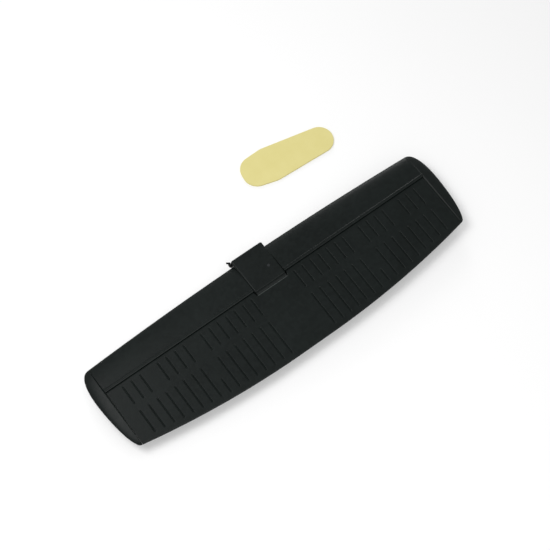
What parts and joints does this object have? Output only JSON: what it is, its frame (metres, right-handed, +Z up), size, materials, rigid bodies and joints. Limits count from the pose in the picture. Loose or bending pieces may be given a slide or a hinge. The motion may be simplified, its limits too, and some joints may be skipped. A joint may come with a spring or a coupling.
{
  "type": "rc aeroplane tail wing",
  "caption": "Black foam tail wing of a radio-controlled aeroplane with a hinged, grooved elevator, a centre saddle and a loose yellow mounting pad.",
  "frame": {"origin": "On the centre line, in the plane of the saddle's seat, straight below the hinge axis.", "axes": "+X along the span toward the left tip, +Y aft toward the trailing edge, +Z up."},
  "size_m": [0.3734, 0.1899, 0.0175],
  "materials": {
    "black_foam": "satin",
    "block_foam": "matte",
    "black_nylon": "satin",
    "carbon": "gloss",
    "hinge_nylon": "satin",
    "pin_steel": "satin",
    "pad_foam": "matte",
    "liner": "satin"
  },
  "bodies": {
    "stabilizer": {"left_panel": "black_foam", "right_panel": "black_foam", "left_tip": "black_foam", "right_tip": "black_foam", "saddle": "block_foam", "left_post": "black_nylon", "right_post": "black_nylon", "side_peg": "black_nylon", "main_spar": "carbon", "front_joiner": "carbon", "left_outer_fixed_leaf": "hinge_nylon", "left_inner_fixed_leaf": "hinge_nylon", "right_inner_fixed_leaf": "hinge_nylon", "right_outer_fixed_leaf": "hinge_nylon", "left_outer_pin": "pin_steel", "left_inner_pin": "pin_steel", "right_inner_pin": "pin_steel", "right_outer_pin": "pin_steel"},
    "elevator": {"elevator": "black_foam", "elevator_stiffener": "carbon", "control_horn": "black_nylon", "left_outer_moving_leaf": "hinge_nylon", "left_inner_moving_leaf": "hinge_nylon", "right_inner_moving_leaf": "hinge_nylon", "right_outer_moving_leaf": "hinge_nylon"},
    "mounting_pad": {"pad_foam": "pad_foam", "pad_bottom_liner": "liner"},
    "pad_liner": {"pad_top_liner": "liner"}
  },
  "joints": [
    {"name": "elevator_hinge", "type": "hinge", "parent": "stabilizer", "child": "elevator", "pos_m": [0, 0, 0.012], "axis": [1, 0, 0], "range_deg": [-25, 25]},
    {"name": "pad_lift", "type": "slide", "parent": "stabilizer", "child": "mounting_pad", "axis": [0, 0, 1], "range_m": [0, 0.06]},
    {"name": "liner_lift", "type": "slide", "parent": "mounting_pad", "child": "pad_liner", "axis": [0, 0, 1], "range_m": [0, 0.03]}
  ]
}
